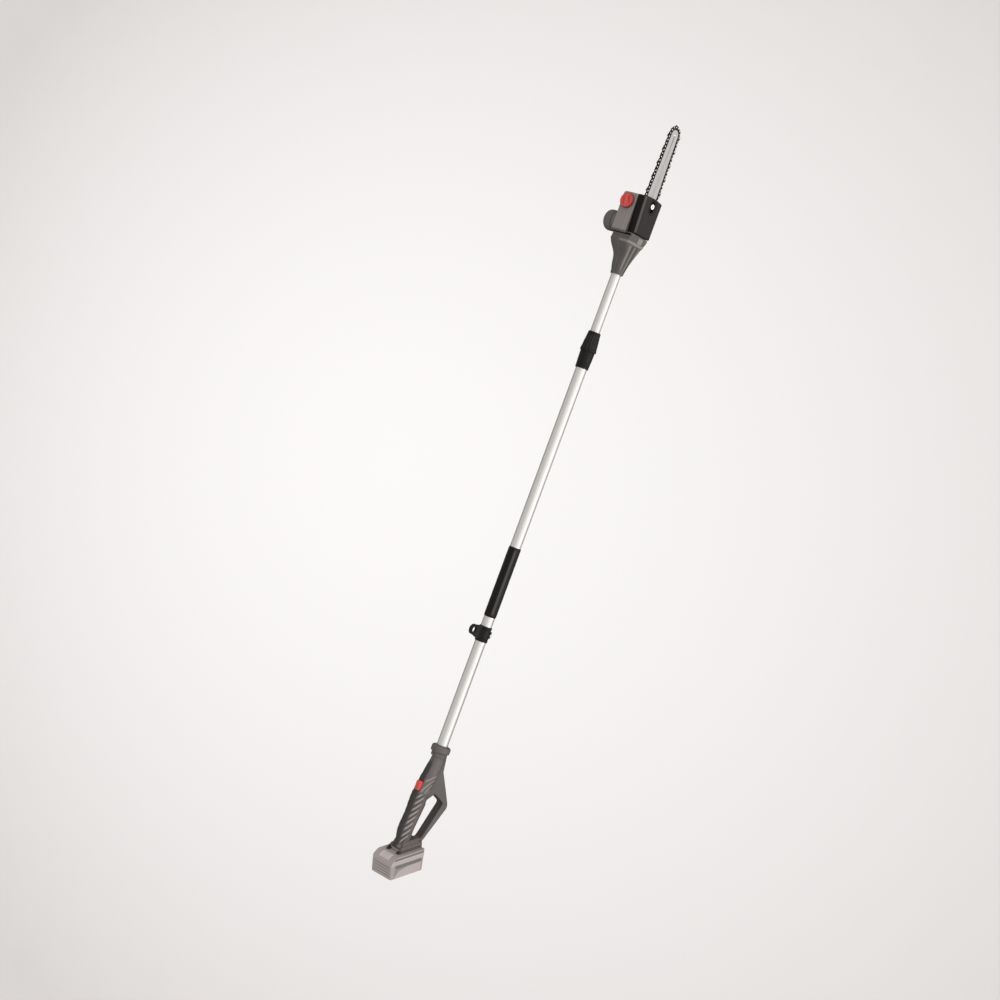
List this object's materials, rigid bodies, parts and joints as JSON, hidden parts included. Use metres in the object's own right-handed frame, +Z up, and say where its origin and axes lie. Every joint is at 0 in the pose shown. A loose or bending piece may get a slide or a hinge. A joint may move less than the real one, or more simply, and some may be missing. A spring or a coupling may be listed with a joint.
{
  "type": "telescoping pole saw",
  "caption": "Cordless telescoping pole saw: D-handle with battery, two-piece twist-lock pole, motor head, guide bar and chain.",
  "frame": {"origin": "on the pole's axis, in the middle of the foam front grip", "axes": "+X along the pole towards the saw head, +Z up in use, away from the hand loop and trigger, +Y to the user's left; the chain cover is on the -Y side"},
  "size_m": [2.1068, 0.1126, 0.1727],
  "materials": {
    "handle_plastic": "textured moulded nylon, warm dark grey",
    "head_plastic": "textured moulded nylon, warm grey",
    "shoe_plastic": "moulded nylon, dark grey",
    "battery_plastic": "moulded plastic, light warm grey",
    "cover_plastic": "moulded nylon, brown-black",
    "black_plastic": "moulded plastic, black",
    "trigger_plastic": "moulded plastic, dark maroon",
    "inner_plastic": "plain moulded plastic",
    "red_plastic": "moulded plastic, signal red",
    "oil_tank_plastic": "translucent polyethylene",
    "anodised_tube": "satin anodised, fine lengthwise drawing lines",
    "foam_rubber": "fine closed-cell foam, black",
    "cable_rubber": "smooth rubber",
    "steel": "machined",
    "bar_steel": "ground and lightly brushed",
    "chain_steel": "blued, oiled",
    "cutter_chrome": "dark hard chrome, oiled",
    "bright_steel": "bright zinc",
    "zinc_steel": "zinc plated",
    "spring_steel": "oiled wire",
    "motor_metal": "drawn can",
    "cell_metal": "sleeved cells",
    "copper_alloy": "tinned contacts",
    "circuit_board": "laminate board"
  },
  "bodies": {
    "handle_and_outer_pole": {"handle_shell_left": "handle_plastic", "handle_shell_right": "handle_plastic", "handle_screws": "zinc_steel", "battery_shoe": "shoe_plastic", "shoe_terminals": "copper_alloy", "power_switch": "inner_plastic", "control_board": "circuit_board", "trigger_pin": "zinc_steel", "trigger_spring": "spring_steel", "lock_off_spring": "spring_steel", "outer_tube": "anodised_tube", "foam_grip": "foam_rubber", "lock_base": "black_plastic", "lock_collet": "inner_plastic", "coiled_power_cable": "cable_rubber"},
    "strap_ring": {"strap_clamp": "black_plastic", "strap_clamp_screw": "zinc_steel"},
    "trigger": {"trigger": "trigger_plastic"},
    "lock_off": {"lock_off_button": "red_plastic"},
    "battery": {"battery_case_lower": "battery_plastic", "battery_case_upper": "battery_plastic", "battery_cells": "cell_metal", "battery_board": "circuit_board", "battery_terminals": "copper_alloy", "battery_screws": "zinc_steel", "latch_spring": "spring_steel"},
    "battery_latch": {"latch_button": "battery_plastic"},
    "twist_nut": {"lock_nut": "black_plastic"},
    "boom_and_head": {"inner_tube": "anodised_tube", "guide_bush": "inner_plastic", "head_shell_left": "head_plastic", "head_shell_right": "head_plastic", "head_screws": "zinc_steel", "motor_cover": "head_plastic", "motor_can": "motor_metal", "gearbox_plate": "steel", "shaft_bearings": "steel", "oil_tank": "oil_tank_plastic", "oil_pump": "inner_plastic", "bar_stud": "steel", "bar_nut": "bright_steel", "sprocket_cover": "cover_plastic"},
    "motor_rotor": {"motor_rotor": "steel", "motor_pinion": "steel"},
    "sprocket_drive": {"spur_gear": "steel", "sprocket_shaft": "steel", "drive_sprocket": "steel", "sprocket_clip": "spring_steel"},
    "guide_bar": {"guide_bar": "bar_steel", "tension_pin": "steel", "nose_rivet": "bright_steel", "chain_drive_links": "chain_steel", "chain_tie_straps": "chain_steel", "chain_cutters": "cutter_chrome", "chain_rivets": "bright_steel"},
    "nose_wheel": {"nose_sprocket": "steel"},
    "tension_screw": {"tension_screw": "zinc_steel"},
    "cap_seal": {"oil_cap_seal": "cable_rubber"},
    "oil_cap": {"oil_cap": "red_plastic"}
  },
  "joints": [
    {"name": "strap_ring_slide", "type": "slide", "parent": "handle_and_outer_pole", "child": "strap_ring", "axis": [1, 0, 0], "range_m": [-0.278, 0.022]},
    {"name": "trigger_squeeze", "type": "hinge", "parent": "handle_and_outer_pole", "child": "trigger", "pos_m": [-0.702, 0, 0.012], "axis": [0, -1, 0], "range_deg": [0, 9], "stiffness_Nm_per_rad": 1.5, "springref_deg": -8.59, "deforming": ["trigger_spring"]},
    {"name": "lock_off_press", "type": "slide", "parent": "handle_and_outer_pole", "child": "lock_off", "axis": [0, 0, -1], "range_m": [0, 0.003], "stiffness_N_per_m": 600, "springref_m": -0.003, "deforming": ["lock_off_spring"]},
    {"name": "battery_release", "type": "slide", "parent": "handle_and_outer_pole", "child": "battery", "axis": [-0.3032, 0, 0.9529], "range_m": [0, 0.11]},
    {"name": "latch_press", "type": "slide", "parent": "battery", "child": "battery_latch", "axis": [-0.9529, 0, -0.3032], "range_m": [0, 0.003], "stiffness_N_per_m": 500, "springref_m": -0.003, "deforming": ["latch_spring"]},
    {"name": "twist_lock_turn", "type": "hinge", "parent": "handle_and_outer_pole", "child": "twist_nut", "pos_m": [0.67, 0, 0], "axis": [1, 0, 0], "range_deg": [0, 90]},
    {"name": "pole_extend", "type": "slide", "parent": "handle_and_outer_pole", "child": "boom_and_head", "axis": [1, 0, 0], "range_m": [-0.15, 0.45], "deforming": ["coiled_power_cable"]},
    {"name": "motor_spin", "type": "hinge", "parent": "boom_and_head", "child": "motor_rotor", "pos_m": [0.99365, 0, 0.01549], "axis": [0, 1, 0], "continuous": true},
    {"name": "sprocket_spin", "type": "hinge", "parent": "boom_and_head", "child": "sprocket_drive", "pos_m": [1.00065, 0, 0], "axis": [0, 1, 0], "continuous": true},
    {"name": "bar_tension", "type": "slide", "parent": "boom_and_head", "child": "guide_bar", "axis": [1, 0, 0], "range_m": [-0.001, 0.004], "deforming": ["chain_drive_links", "chain_tie_straps", "chain_cutters", "chain_rivets"]},
    {"name": "nose_wheel_spin", "type": "hinge", "parent": "guide_bar", "child": "nose_wheel", "pos_m": [1.2515, -0.0207, 0], "axis": [0, 1, 0], "continuous": true},
    {"name": "tension_screw_turn", "type": "hinge", "parent": "boom_and_head", "child": "tension_screw", "pos_m": [1.055, -0.0152, 0.008], "axis": [1, 0, 0], "range_deg": [-540, 2088]},
    {"name": "oil_cap_lift", "type": "slide", "parent": "boom_and_head", "child": "cap_seal", "axis": [0, 0, 1], "range_m": [0, 0.012]},
    {"name": "oil_cap_turn", "type": "hinge", "parent": "cap_seal", "child": "oil_cap", "pos_m": [1.049, 0.014, 0.048], "axis": [0, 0, 1], "range_deg": [0, 1085]}
  ],
  "couplings": [
    {"joint": "sprocket_spin", "follows": "motor_spin", "ratio": -0.41667},
    {"joint": "nose_wheel_spin", "follows": "motor_spin", "ratio": -0.35714},
    {"joint": "tension_screw_turn", "follows": "bar_tension", "rad_per_m": 8976},
    {"joint": "oil_cap_turn", "follows": "oil_cap_lift", "rad_per_m": 1570.8}
  ]
}
